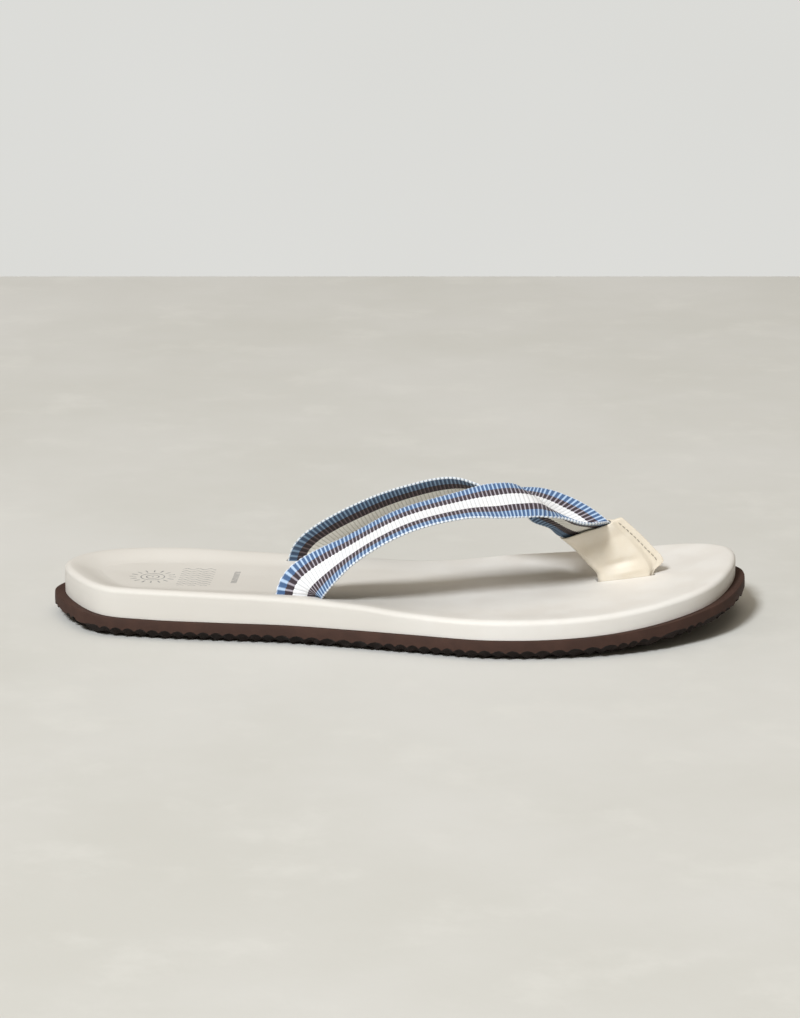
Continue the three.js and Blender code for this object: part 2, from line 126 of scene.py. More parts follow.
# ---- Under the footbed, with the sole laid flat ----
PATCH_THICKNESS = 0.8
THREAD_THICKNESS = 0.5
TACK = {"length": 14, "width": 2, "from_slot": 10}
TAIL_HEIGHT = FOOTBED_BOTTOM + PATCH_THICKNESS + GAP + RIBBON["thickness"] / 2
TACK_BOTTOM = TAIL_HEIGHT + RIBBON["thickness"] / 2 + GAP
RECESS_CEILING = TACK_BOTTOM + THREAD_THICKNESS + GAP


# ---- Numbers and curves ----
def smoothstep(value, start, end):
    share = np.clip((np.asarray(value, float) - start) / (end - start), 0, 1)
    return share * share * (3 - 2 * share)


def smooth_table(table, reach=12):
    """A function of x that follows the table's [x, value] points, with its corners rounded over `reach`."""
    xs = np.arange(-160, 161.0)
    values = np.interp(xs, *zip(*table))
    window = np.hanning(2 * reach + 1)
    padded = np.pad(values, reach, mode="edge")
    rounded = np.convolve(padded, window / window.sum(), "valid")
    return lambda x: np.interp(x, xs, rounded)


def lift(x):
    """How far the sole curves up off the ground at x."""
    toe = np.maximum(0, (x - TOE_SPRING["start"]) / (TOE_SPRING["end"] - TOE_SPRING["start"]))
    heel = np.maximum(0, (x - HEEL_LIFT["start"]) / (HEEL_LIFT["end"] - HEEL_LIFT["start"]))
    return TOE_SPRING["rise"] * toe**2 + HEEL_LIFT["rise"] * heel**2


def curve(points, steps, closed=False):
    """The centripetal Catmull-Rom curve through the points, with `steps` points to each stretch."""
    points = np.asarray(points, float)
    if closed:
        padded = np.concatenate([points[-1:], points, points[:2]])
    else:
        padded = np.concatenate([2 * points[:1] - points[1:2], points, 2 * points[-1:] - points[-2:-1]])
    made = []
    for i in range(len(padded) - 3):
        p0, p1, p2, p3 = padded[i : i + 4]
        d0, d1, d2 = (math.sqrt(np.linalg.norm(b - a)) for a, b in ((p0, p1), (p1, p2), (p2, p3)))
        leave = ((p1 - p0) / d0 - (p2 - p0) / (d0 + d1) + (p2 - p1) / d1) * d1
        reach = ((p2 - p1) / d1 - (p3 - p1) / (d1 + d2) + (p3 - p2) / d2) * d1
        for t in np.arange(steps) / steps:
            made.append(
                (2 * t**3 - 3 * t**2 + 1) * p1
                + (t**3 - 2 * t**2 + t) * leave
                + (3 * t**2 - 2 * t**3) * p2
                + (t**3 - t**2) * reach
            )
    if not closed:
        made.append(points[-1])
    return np.array(made)


def post_point(side, off, z):
    """A point by its distance along the toe post's upright plane, and off that plane."""
    return POST_FOOT + side * POST_SIDE + off * POST_NORMAL + np.array((0, 0, z))


def slot_point(slot, side, inward, z):
    """A point by its place along a rear slot, and from the slot towards the middle of the foot."""
    cos, sin = math.cos(slot["angle"]), math.sin(slot["angle"])
    across = slot["inward"] * inward
    return np.array((slot["x"] + side * cos - across * sin, slot["y"] + side * sin + across * cos, z))


# ---- Meshes ----
def new_mesh(name, points, faces):
    mesh = bpy.data.meshes.new(name)
    mesh.from_pydata((np.asarray(points) * MM).tolist(), [], faces)
    return mesh


def turned_outwards(mesh):
    """The mesh with its faces turned outwards."""
    work = bmesh.new()
    work.from_mesh(mesh)
    bmesh.ops.recalc_face_normals(work, faces=work.faces)
    work.to_mesh(mesh)
    work.free()
    return mesh


def cleaned(mesh, merge=1e-4):
    """The mesh with its double points merged and its faces turned outwards."""
    work = bmesh.new()
    work.from_mesh(mesh)
    bmesh.ops.remove_doubles(work, verts=work.verts, dist=merge * MM)
    bmesh.ops.dissolve_degenerate(work, edges=work.edges, dist=merge * MM)
    work.to_mesh(mesh)
    work.free()
    return turned_outwards(mesh)


def shade(mesh, sharp_angle):
    mesh.shade_smooth()
    mesh.set_sharp_from_angle(angle=math.radians(sharp_angle))


def new_piece(name, mesh, finish, slot, *nodes, sharp_angle=35):
    """A piece of the sandal, which stands for the given CAD nodes."""
    shade(mesh, sharp_angle)
    mesh.materials.append(finish)
    piece = bpy.data.objects.new(name, mesh)
    bpy.context.scene.collection.objects.link(piece)
    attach(piece, "root")
    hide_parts(*nodes)
    return piece


def ring_faces(rings, size, close_rings=False, close_ends=False):
    """Faces between rings of `size` points each. The rings may close on the first one, or have end caps."""
    faces = []
    for r in range(rings if close_rings else rings - 1):
        here, there = r * size, ((r + 1) % rings) * size
        for i in range(size):
            j = (i + 1) % size
            faces.append((here + i, here + j, there + j, there + i))
    if close_ends:
        faces.append(tuple(range(size))[::-1])
        faces.append(tuple(range((rings - 1) * size, rings * size)))
    return faces


# ---- Sole outline ----
OUTLINE_STEPS = 14
OUTLINE = curve(OUTER_SIDE + BIG_TOE_SIDE, OUTLINE_STEPS, closed=True)
ONWARD = np.roll(OUTLINE, -1, 0) - np.roll(OUTLINE, 1, 0)
ONWARD /= np.linalg.norm(ONWARD, axis=1)[:, None]
OUTWARD = np.stack([ONWARD[:, 1], -ONWARD[:, 0]], 1)


def ledge(outward):
    """How far the outsole shows round the footbed: wide at the heel and at the outer side of the toe."""
    on_big_toe_side = smoothstep(outward[:, 1], *LEDGE["fade"])
    share = np.where(outward[:, 0] > 0, 1 - on_big_toe_side, 1)
    return LEDGE["least"] + LEDGE["extra"] * share * outward[:, 0] ** 2


def rim_distance(points, rim):
    """Distance of each point from the closed line through the rim's points."""
    start, end = rim, np.roll(rim, -1, 0)
    stretch = end - start
    best = np.full(len(points), np.inf)
    for a, d in zip(start, stretch):
        share = np.clip(((points - a) @ d) / (d @ d), 0, 1)
        best = np.minimum(best, np.hypot(*(points - a - share[:, None] * d).T))
    return best


# ---- Footbed ----
rim_thickness = smooth_table(RIM_THICKNESS)
dish_depth = smooth_table(DISH_DEPTH)


def footbed_top(x, distance):
    """Height of the footbed's upper surface, inside its rounded rim, with the sole laid flat."""
    dish = dish_depth(x) * smoothstep(distance, *DISH_SLOPE)
    hollow = dish + MIDDLE_DIP["depth"] * smoothstep(distance, *MIDDLE_DIP["slope"])
    return OUTSOLE_THICKNESS + rim_thickness(x) - hollow


WALL_SHARES = (0, 0.35, 0.7, 1)  # of the wall's height
RIM_ANGLES = (12, 25, 38, 52, 66, 80)  # round the rim, from the wall inwards
DISH_INSETS = (2.7, 3.3, 4.1, 5.1, 6.2, 7.4, 8.7, 10, 11.5, 13, 15)


def footbed_surface():
    """Points and faces of the foam slab: wall, rounded rim, dish and flat underside."""
    size = len(OUTLINE)
    half = size // 2
    x = OUTLINE[:, 0]
    wall_top = OUTSOLE_THICKNESS + rim_thickness(x) - RIM_HEIGHT * RIM_RADIUS
    rings = []

    def add_ring(inward, z):
        flat = OUTLINE - inward * OUTWARD
        rings.append(np.column_stack([flat, np.broadcast_to(z, size)]))

    corner = 0.12
    add_ring(corner, FOOTBED_BOTTOM)
    for share in WALL_SHARES:
        add_ring(0, FOOTBED_BOTTOM + corner + share * (wall_top - FOOTBED_BOTTOM - corner))
    for angle in np.radians(RIM_ANGLES):
        inward = RIM_RADIUS * (1 - math.cos(angle))
        flat = OUTLINE - inward * OUTWARD
        crown = footbed_top(flat[:, 0], inward)
        add_ring(inward, crown - RIM_HEIGHT * RIM_RADIUS * (1 - math.sin(angle)))
    for inward in DISH_INSETS:
        flat = OUTLINE - inward * OUTWARD
        add_ring(inward, footbed_top(flat[:, 0], inward))
    faces = ring_faces(len(rings), size)
    points = np.concatenate(rings)

    def add_rows(ring, height, upward):
        """Closes a ring by rows across the foot, from its outer side to its big-toe side."""
        nonlocal points
        columns = 18
        start = len(points)
        rows = []
        for s in range(half + 1):
            a, b = ring[s], ring[(size - s) % size]
            for share in np.linspace(0, 1, columns):
                rows.append(a + share * (b - a))
        rows = np.array(rows)
        inside = rim_distance(rows[:, :2], OUTLINE)
        rows[:, 2] = height(rows[:, 0], inside)
        points = np.concatenate([points, rows])
        for s in range(half):
            for c in range(columns - 1):
                a = start + s * columns + c
                quad = (a, a + columns, a + columns + 1, a + 1)
                faces.append(quad[::-1] if upward else quad)

    add_rows(rings[-1], footbed_top, True)
    add_rows(rings[0], lambda x, inside: np.full(len(x), FOOTBED_BOTTOM), False)
    return points, faces


def cutter(middle, length, depth, bottom, top, angle):
    """A block, `length` along the turned x axis and `depth` along the turned y axis, to cut with."""
    corners = []
    for z in (bottom, top):
        for side, across in ((-1, -1), (1, -1), (1, 1), (-1, 1)):
            dx, dy = side * length / 2, across * depth / 2
            corners.append((
                middle[0] + dx * math.cos(angle) - dy * math.sin(angle),
                middle[1] + dx * math.sin(angle) + dy * math.cos(angle),
                z,
            ))
    faces = [(3, 2, 1, 0), (4, 5, 6, 7), (0, 1, 5, 4), (1, 2, 6, 5), (2, 3, 7, 6), (3, 0, 4, 7)]
    return new_mesh("cutter", corners, faces)


def footbed_cutters():
    """The ribbons' slots, the post's slot, and the recesses that hold the glued tails."""
    above = 40
    blocks = []
    for slot in (OUTER_SLOT, INNER_SLOT):
        half = REAR_SLOT["width"] / 2
        tail = RIBBON["fold"] + RIBBON["rear_tail"] + CLEAR
        middle = slot_point(slot, 0, 0, 0)
        blocks.append(cutter(middle, REAR_SLOT["length"], REAR_SLOT["width"], 0, above, slot["angle"]))
        middle = slot_point(slot, 0, (tail - half) / 2, 0)
        blocks.append(cutter(middle, REAR_SLOT["recess"], tail + half, 0, RECESS_CEILING, slot["angle"]))
    middle = post_point(sum(TOE_SLOT) / 2, 0, 0)
    length = TOE_SLOT[1] - TOE_SLOT[0]
    reach = RIBBON["thickness"] + RIBBON["fold"] + RIBBON["toe_tail"] + CLEAR
    blocks.append(cutter(middle, length, 2 * (SLEEVE_HALF + GAP), 0, above, POST_ANGLE))
    blocks.append(cutter(middle, length, 2 * reach, 0, RECESS_CEILING, POST_ANGLE))
    return blocks


def carved(mesh, blocks):
    """The mesh with the blocks cut out of it."""
    body = bpy.data.objects.new("carving", mesh)
    bpy.context.scene.collection.objects.link(body)
    tools = []
    for block in blocks:
        tool = bpy.data.objects.new("tool", block)
        bpy.context.scene.collection.objects.link(tool)
        tools.append(tool)
        cut = body.modifiers.new("cut", "BOOLEAN")
        cut.operation = "DIFFERENCE"
        cut.solver = "EXACT"
        cut.object = tool
    bpy.context.view_layer.update()
    shaped = bpy.data.meshes.new_from_object(body.evaluated_get(bpy.context.evaluated_depsgraph_get()))
    for thing in [body, *tools]:
        bpy.data.objects.remove(thing)
    return shaped


def bend(mesh):
    """Curves a mesh that was made flat to the sole's toe spring and heel lift."""
    points = np.empty(3 * len(mesh.vertices))
    mesh.vertices.foreach_get("co", points)
    points = points.reshape(-1, 3)
    points[:, 2] += MM * lift(points[:, 0] / MM)
    mesh.vertices.foreach_set("co", points.ravel())
    mesh.update()
    return mesh


def make_footbed(finish):
    mesh = cleaned(new_mesh("footbed_foam", *footbed_surface()))
    mesh = carved(mesh, footbed_cutters())
    return new_piece("foam_footbed", bend(mesh), finish, "footbed_foam", "footbed")


# ---- Outsole ----
def zigzag(y):
    """How far a tread line swings forward at y."""
    turn = np.abs(((y / TREAD["leg"]) % 2) - 1)
    return TREAD["swing"] * (2 * turn - 1)


TREAD_REACH = (150, 64)  # the ridges cover this far from the middle, along and across the foot
# One ridge's height as a share of its depth, by how far along its pitch
TREAD_PROFILE = [(0, 0), (0.06, 0.16), (0.22, 0.68), (0.5, 1), (0.78, 0.68), (0.94, 0.16), (1, 0)]


def tread_height(x, y):
    phase = ((x - zigzag(y)) / TREAD["pitch"]) % 1
    return TREAD["depth"] * np.interp(phase, *zip(*TREAD_PROFILE))


def tread_lines():
    """The lines along which the tread's surface turns, across the whole foot, as points and edges."""
    step = TREAD["leg"] / 4
    ys = np.arange(-TREAD_REACH[1], TREAD_REACH[1] + 1, step)
    points, edges = [], []
    count = math.ceil(TREAD_REACH[0] / TREAD["pitch"])
    for ridge in range(-count, count):
        for share, _ in TREAD_PROFILE[:-1]:
            start = len(points)
            x = (ridge + share) * TREAD["pitch"]
            points += [(x + swing, y) for swing, y in zip(zigzag(ys), ys)]
            edges += [(start + i, start + i + 1) for i in range(len(ys) - 1)]
    return points, edges


def inside_loop(points, loop):
    """Which points are inside the closed loop."""
    inside = np.zeros(len(points), bool)
    for a, b in zip(loop, np.roll(loop, -1, 0)):
        if a[1] == b[1]:
            continue
        crosses = (a[1] > points[:, 1]) != (b[1] > points[:, 1])
        x = a[0] + (points[:, 1] - a[1]) * (b[0] - a[0]) / (b[1] - a[1])
        inside ^= crosses & (points[:, 0] < x)
    return inside


def triangulated(loop, points, edges):
    """The points and the triangles of a sheet that fills the loop and keeps the edges."""
    size = len(loop)
    flat = [Vector(p) for p in loop] + [Vector(p) for p in points]
    kept = [(size + a, size + b) for a, b in edges]
    ring = [(i, (i + 1) % size) for i in range(size)]
    made = delaunay_2d_cdt(flat, ring + kept, [], 0, 1e-5)
    verts = np.array([tuple(v) for v in made[0]])
    triangles = np.array([tuple(f) for f in made[2]])
    triangles = triangles[inside_loop(verts[triangles].mean(1), np.asarray(loop))]
    used, index = np.unique(triangles, return_inverse=True)
    return verts[used], index.reshape(-1, 3)


def boundary(triangles):
    """The indices round the edge of one sheet of triangles, in order."""
    edges = {}
    for a, b, c in triangles.tolist():
        for start, end in ((a, b), (b, c), (c, a)):
            edges[start] = edges.get(start, set()) | {end}
    onward = {a: b for a in edges for b in edges[a] if a not in edges.get(b, set())}
    loop = [min(onward)]
    while onward[loop[-1]] != loop[0]:
        loop.append(onward[loop[-1]])
    return loop


EDGE_ROUND = 0.25  # of the outsole's lower edge
# The outsole's wall above its rounded lower edge: how far each level is set in, and its height
WALL_LEVELS = [
    (0, OUTSOLE_THICKNESS - 3), (0.1, OUTSOLE_TOP - 0.4), (0.2, OUTSOLE_TOP - 0.15), (0.45, OUTSOLE_TOP),
]


def outsole_underside():
    """The outline, points and triangles of the treaded underside."""
    rim = OUTLINE + (ledge(OUTWARD)[:, None] - EDGE_ROUND) * OUTWARD
    flat, triangles = triangulated(rim, *tread_lines())
    inside = rim_distance(flat, rim)
    rise = OUTSOLE_EDGE_RISE * (1 - smoothstep(inside, *OUTSOLE_EDGE_SLOPE))
    return rim, np.column_stack([flat, rise + tread_height(flat[:, 0], flat[:, 1])]), triangles


def outsole_lid(loop):
    """The points and triangles of the flat top inside the loop."""
    grid = np.array([(x, y) for x in range(-140, 141, 5) for y in range(-60, 61, 8)], float)
    grid = grid[inside_loop(grid, loop)]
    clear_of_edge = 3
    grid = grid[rim_distance(grid, loop) > clear_of_edge]
    flat, triangles = triangulated(loop, grid, [])
    return np.column_stack([flat, np.full(len(flat), OUTSOLE_TOP)]), triangles


def outsole_surface():
    """Points and faces of the outsole, laid flat."""
    rim, underside, bottom = outsole_underside()
    points = [underside]
    faces = [tuple(t[::-1]) for t in bottom.tolist()]
    loop = boundary(bottom)
    edge, lower = underside[loop, :2], underside[loop, 2]
    nearest = np.argmin(np.hypot(*(edge[:, None] - rim[None]).transpose(2, 0, 1)), axis=1)
    outward = OUTWARD[nearest]
    levels = [(EDGE_ROUND, lower + EDGE_ROUND)]
    levels += [(EDGE_ROUND - inset, np.full(len(loop), z)) for inset, z in WALL_LEVELS]
    previous = np.array(loop)
    for out, z in levels:
        ring = sum(len(p) for p in points) + np.arange(len(loop))
        points.append(np.column_stack([edge + out * outward, z]))
        for i in range(len(loop)):
            j = (i + 1) % len(loop)
            faces.append((previous[i], previous[j], ring[j], ring[i]))
        previous = ring
    start = sum(len(p) for p in points)
    lid, top = outsole_lid(points[-1][:, :2])
    points.append(lid)
    faces += [tuple(start + np.array(t)) for t in top.tolist()]
    return np.concatenate(points), [tuple(map(int, face)) for face in faces]


def make_outsole(finish, painted_shade_finish):
    """The rubber outsole, with a darker finish on every face that points down: painted shade for the tread
    in shadow.
    """
    mesh = bend(cleaned(new_mesh("outsole_rubber", *outsole_surface()), 1e-3))
    for polygon in mesh.polygons:
        polygon.material_index = int(polygon.normal.z < -0.3)
    piece = new_piece("treaded_outsole", mesh, finish, "outsole_rubber", "outsole", sharp_angle=28)
    mesh.materials.append(painted_shade_finish)
    return piece


# ---- Ribbons ----
def tail_steps(length):
    """A ribbon's way under the footbed, from its end to the slot: distances from the slot and heights."""
    fold = RIBBON["fold"]
    turn = [
        (fold - fold * math.sin(a), TAIL_HEIGHT + fold - fold * math.cos(a))
        for a in np.radians(range(0, 91, 15))
    ]
    return [(fold + length, TAIL_HEIGHT), *turn]


def edge_pair(place):
    return [place(-RIBBON["width"] / 2), place(RIBBON["width"] / 2)]


def rear_tail(slot):
    steps = tail_steps(RIBBON["rear_tail"])
    return [edge_pair(lambda side: slot_point(slot, side, inward, z)) for inward, z in steps]


def toe_tail(face):
    """The toe end of a ribbon, from the slot outwards. face is -1 on the outer side of the foot."""
    start = TOE_SLOT[0] + GAP + RIBBON_INSET + RIBBON["width"] / 2
    offset = RIBBON["thickness"] / 2 + GAP / 2
    pairs = []
    for away, z in reversed(tail_steps(RIBBON["toe_tail"])):
        pair = edge_pair(lambda side: post_point(start + side, face * (offset + away), z))
        pairs.append([p + np.array((0, 0, lift(p[0]))) for p in pair])
    return pairs


def inside_sleeve(face):
    """The ribbon's edges at each level of the sleeve, from its mouth down."""
    offset = face * (RIBBON["thickness"] / 2 + GAP / 2)
    pairs = []
    for rear, front in zip(SLEEVE_REAR, SLEEVE_FRONT):
        start, end = (post_point(p[0], offset, p[1]) for p in (rear, front))
        across = (end - start) / np.linalg.norm(end - start)
        pairs.append([start + inset * across for inset in (RIBBON_INSET, RIBBON_INSET + RIBBON["width"])])
    return pairs


def ribbon_route(slot, arch, face):
    """A ribbon's sections from its tail behind the slot to its tail under the toes.

    Gives the points on both edges, how far each section is crowned, and the way travelled to it.
    """
    steps = 16
    in_slot = [edge_pair(lambda side: slot_point(slot, side, 0, z)) for z in (SLOT_FOOT, REAR_FLOOR)]
    mouth, *below = inside_sleeve(face)
    shown = [*in_slot, *[section[:2] for section in arch], mouth]
    edges = [curve([pair[k] for pair in shown], steps) for k in (0, 1)]
    crowns = [0, 0, *[section[2] for section in arch], 0]
    crown = np.interp(np.arange(len(edges[0])) / steps, range(len(crowns)), crowns)
    window = np.hanning(steps + 1)
    crown = np.convolve(crown, window / window.sum(), "same")
    before, after = rear_tail(slot), below + toe_tail(face)
    pairs = np.concatenate([before, np.stack(edges, 1), after])
    middle = pairs.mean(1)
    travelled = np.concatenate([[0], np.cumsum(np.linalg.norm(np.diff(middle, axis=0), axis=1))])
    return pairs, np.pad(crown, (len(before), len(after))), travelled


RIB_STEPS = 8  # mesh rows to each rib
RIB_HEIGHT = 0.22
EDGE_LOOP = 0.4  # how far the yarn loops stand out along the edges
THINNEST = 0.15  # at the ribbon's very edge, as a share of its thickness
EDGE_START = 0.95  # where the rounding of the edge begins, as a share of half the width
# Where the ribbon's cross-section has its points, from one edge to the other
ACROSS = (-1, -0.985, -EDGE_START, -0.8, -0.6, -0.4, -0.2, 0, 0.2, 0.4, 0.6, 0.8, EDGE_START, 0.985, 1)


def ribbon_mesh(name, slot, arch, face):
    """The woven band: ribs across both faces, and a small loop at each rib along both edges."""
    pairs, crown, travelled = ribbon_route(slot, arch, face)
    length = travelled[-1]
    count = round(length / RIBBON["rib_pitch"]) * RIB_STEPS
    stations = np.linspace(0, length, count + 1)
    flat = pairs.reshape(len(pairs), 6)
    sampled = np.stack([np.interp(stations, travelled, flat[:, k]) for k in range(6)], 1)
    crown = np.interp(stations, travelled, crown)
    first, second = sampled[:, :3], sampled[:, 3:]
    middle = (first + second) / 2
    across = (second - first) / np.linalg.norm(second - first, axis=1)[:, None]
    travel = np.gradient(middle, axis=0)
    normal = np.cross(travel, across)
    normal /= np.linalg.norm(normal, axis=1)[:, None]
    phase = np.arange(count + 1) / RIB_STEPS
    groove = 1 - np.sqrt(np.abs(np.sin(math.pi * phase)))
    chord_loss = 4 * crown**2 / (3 * RIBBON["width"])
    reach = RIBBON["width"] / 2 - chord_loss - EDGE_LOOP * groove
    half_thick = RIBBON["thickness"] / 2 - RIB_HEIGHT * groove
    points, uvs = [], []
    profile = [(v, 1) for v in ACROSS] + [(v, -1) for v in ACROSS[::-1]]
    for i in range(count + 1):
        for v, side in profile:
            rounded = math.sqrt(max(0.0, 1 - max(0.0, (abs(v) - EDGE_START) / (1 - EDGE_START)) ** 2))
            outwards = reach[i] * normal[i] + 2 * crown[i] * v * across[i]
            outwards /= np.linalg.norm(outwards)
            on_arc = middle[i] + v * reach[i] * across[i] + crown[i] * (1 - v * v) * normal[i]
            points.append(on_arc + side * half_thick[i] * max(THINNEST, rounded) * outwards)
            uvs.append(((v + 1) / 2, phase[i]))
    mesh = new_mesh(name, points, ring_faces(count + 1, len(profile), close_ends=True))
    layer = mesh.uv_layers.new(name="Weave")
    for loop in mesh.loops:
        layer.data[loop.index].uv = uvs[loop.vertex_index]
    for i, polygon in enumerate(mesh.polygons[: count * len(profile)]):
        polygon.material_index = int(i % len(profile) >= len(ACROSS))
    return mesh, length


def make_ribbon(name, slot, arch, face, finishes, node):
    """A ribbon strap. finishes are the ones of its front and of its back, the back's being a darker copy
    with painted shade.
    """
    mesh, length = ribbon_mesh(name, slot, arch, face)
    turned_outwards(mesh)
    first, second = finishes if face > 0 else finishes[::-1]
    piece = new_piece(name, mesh, first, "ribbon", node, sharp_angle=75)
    mesh.materials.append(second)
    return piece


# ---- Toe sleeve ----
SLEEVE_STEPS = 24  # rings to each stretch of the sleeve's edges
FOLD_ROUND = 2.4  # reach of the rounded rear fold
CLOSING_START = SLEEVE_POCKET - 1.5  # across a level, where the two layers begin to come together
CLOSING_END = SLEEVE_POCKET + 1.4
MOUTH_FLARE = 1.2
SCALLOP = {"depth": 0.4, "pitch": 4.6}  # of the cut front edge, with the pitch counted in rings
SEAM_GROOVE = {"depth": 0.08, "width": 0.35}
# Each bulge or hollow of the leather by its depth below the mouth, from 0 to 1
SLEEVE_BULGES = [
    {"height": 0.8, "depth": 0.25, "spread": 0.14, "reach": 1.08, "power": 2},
    {"height": -0.9, "depth": 0.49, "spread": 0.05, "reach": 1, "power": 2},
    {"height": 0.6, "depth": 0.67, "spread": 0.11, "reach": 1, "power": 1.5},
]


def sleeve_levels():
    """For each level from the mouth down: the rear edge's point, the way to the front, and the width."""
    rear, front = curve(SLEEVE_REAR, SLEEVE_STEPS), curve(SLEEVE_FRONT, SLEEVE_STEPS)
    levels = []
    for (rear_side, rear_z), (front_side, front_z) in zip(rear, front):
        start = post_point(rear_side, 0, rear_z)
        reach = post_point(front_side, 0, front_z) - start
        width = np.linalg.norm(reach)
        levels.append((start, reach / width, width))
    return levels


def sleeve_bulge(depth, share):
    """How far the leather stands out, by depth below the mouth and place across, both from 0 to 1."""
    total = 0
    for bulge in SLEEVE_BULGES:
        away = (depth - bulge["depth"]) / bulge["spread"]
        sideways = math.sin(math.pi * min(1, share * bulge["reach"])) ** bulge["power"]
        total += bulge["height"] * math.exp(-(away**2)) * sideways
    return total


def sleeve_closed(width):
    """Where across a level the two layers of leather meet."""
    return min(CLOSING_END, width - GAP)


def sleeve_half(inset, width, flare, depth):
    """Distance of the leather's outer face from the post's plane."""
    thick = SLEEVE_HALF + flare
    if inset < FOLD_ROUND:
        full = thick * math.sqrt(1 - (1 - inset / FOLD_ROUND) ** 2)
    else:
        closing = float(smoothstep(inset, CLOSING_START, sleeve_closed(width)))
        full = thick + (SEAM_HALF - thick) * closing
    from_seam = (inset - (width - SEAM_FROM_EDGE)) / SEAM_GROOVE["width"]
    groove = SEAM_GROOVE["depth"] * math.exp(-(from_seam**2))
    return full - groove + sleeve_bulge(depth, min(1, inset / SLEEVE_POCKET))


def sleeve_pocket_half(inset, start, end, half):
    """Distance of the leather's inner face from the post's plane."""
    rounding = 0.7
    reach = min(inset - start, end - inset, rounding)
    return half * math.sqrt(max(0, 1 - (1 - reach / rounding) ** 2))


def sleeve_section(width, flare, depth, scallop):
    """The outer and inner outlines of one level, as matching lists of [inset, offset]."""
    closed = sleeve_closed(width)
    insets = [FOLD_ROUND * (1 - math.cos(a)) for a in np.radians((0, 15, 30, 45, 60, 75, 90))]
    insets += list(np.linspace(FOLD_ROUND, CLOSING_START, 12)[1:])
    insets += list(np.linspace(CLOSING_START, closed, 7)[1:])
    insets += list(np.linspace(closed, width - 0.1, 10)[1:])
    outer = [(inset, sleeve_half(inset, width, flare, depth)) for inset in insets]
    # The cut edge, down to the post's plane
    outer += [(width + scallop, 0.85 * SEAM_HALF), (width + scallop, 0.12), (width + scallop - 0.5, 0)]
    start, end = LEATHER - 0.1, RIBBON_INSET + RIBBON["width"] + CLEAR
    half = SLEEVE_HALF - LEATHER + flare
    inner = []
    for inset, _ in outer:
        place = start + (end - start) * min(1, inset / (SLEEVE_POCKET - 0.5))
        inner.append((place, sleeve_pocket_half(place, start, end, half)))
    return [line + [(x, -y) for x, y in line[-2:0:-1]] for line in (outer, inner)]


def make_sleeve(finish):
    levels = sleeve_levels()
    last = len(levels) - 1
    outer_rings, inner_rings = [], []
    for i, (start, across, width) in enumerate(levels):
        depth = i / last
        flare = MOUTH_FLARE * (1 - smoothstep(i, 0, SLEEVE_STEPS))
        scallop = SCALLOP["depth"] * abs(math.sin(math.pi * i / SCALLOP["pitch"]))
        section = sleeve_section(width, flare, depth, scallop)
        for line, rings in zip(section, (outer_rings, inner_rings)):
            rings.append(np.array([start + x * across + y * POST_NORMAL for x, y in line]))
    up = outer_rings[0].mean(0) - outer_rings[1].mean(0)
    up /= np.linalg.norm(up)
    lip = 0.12
    lip_rings = [
        inner_rings[0] * (1 - lip) + outer_rings[0] * lip + lip * up,
        outer_rings[0] * (1 - lip) + inner_rings[0] * lip + lip * up,
    ]
    rings = [*inner_rings[::-1], *lip_rings, *outer_rings]
    faces = ring_faces(len(rings), len(rings[0]), close_rings=True)
    mesh = cleaned(new_mesh("sleeve_leather", np.concatenate(rings), faces), 1e-3)
    return new_piece("leather_toe_sleeve", mesh, finish, "sleeve_leather", "toe_sleeve", sharp_angle=50)


# ---- Thread ----
THREAD_RADIUS = 0.24
# Each stitch reaches "half" of the pitch to both sides of its middle, and bows out of the leather
STITCH = {"count": 11, "first": 1.2, "margins": 1.6, "half": 0.36, "bow": 0.24, "sunk": 0.12}
TACK_PASSES = 22  # of the thread across each bar tack


def tube(path, radii, sides=8):
    """Points and faces of a closed tube along the path."""
    path = np.asarray(path, float)
    travel = np.gradient(path, axis=0)
    travel /= np.linalg.norm(travel, axis=1)[:, None]
    helper = np.array((0, 0, 1.0)) if abs(travel[:, 2]).max() < 0.9 else np.array((0, 1.0, 0))
    points = []
    for centre, direction, radius in zip(path, travel, radii):
        side = np.cross(direction, helper)
        side /= np.linalg.norm(side)
        up = np.cross(side, direction)
        for k in range(sides):
            turn = 2 * math.pi * k / sides
            points.append(centre + radius * (math.cos(turn) * side + math.sin(turn) * up))
    return points, ring_faces(len(path), sides, close_ends=True)


def joined(shapes):
    """One list of points and faces out of several."""
    points, faces = [], []
    for more_points, more_faces in shapes:
        start = len(points)
        points += list(more_points)
        faces += [tuple(start + i for i in face) for face in more_faces]
    return points, faces


def make_stitches(name, face, finish, node):
    """The front seam's stitches on one face of the sleeve."""
    levels = sleeve_levels()[: 3 * SLEEVE_STEPS]
    line = np.array([start + (width - SEAM_FROM_EDGE) * across for start, across, width in levels])
    travelled = np.concatenate([[0], np.cumsum(np.linalg.norm(np.diff(line, axis=0), axis=1))])
    pitch = (travelled[-1] - STITCH["margins"]) / STITCH["count"]
    shapes = []
    shares = np.linspace(-1, 1, 9)
    for n in range(STITCH["count"]):
        middle = STITCH["first"] + (n + 0.5) * pitch
        reach = STITCH["half"] * pitch
        places = np.stack([np.interp(middle + shares * reach, travelled, line[:, k]) for k in range(3)], 1)
        bow = SEAM_HALF - STITCH["sunk"] + STITCH["bow"] * np.sqrt(np.maximum(0, 1 - shares**2))
        path = places + face * bow[:, None] * POST_NORMAL
        radii = THREAD_RADIUS * np.sqrt(np.maximum(0.08, 1 - shares**6))
        shapes.append(tube(path, radii))
    mesh = cleaned(new_mesh(name, *joined(shapes)))
    return new_piece(name, mesh, finish, "thread", node, sharp_angle=60)


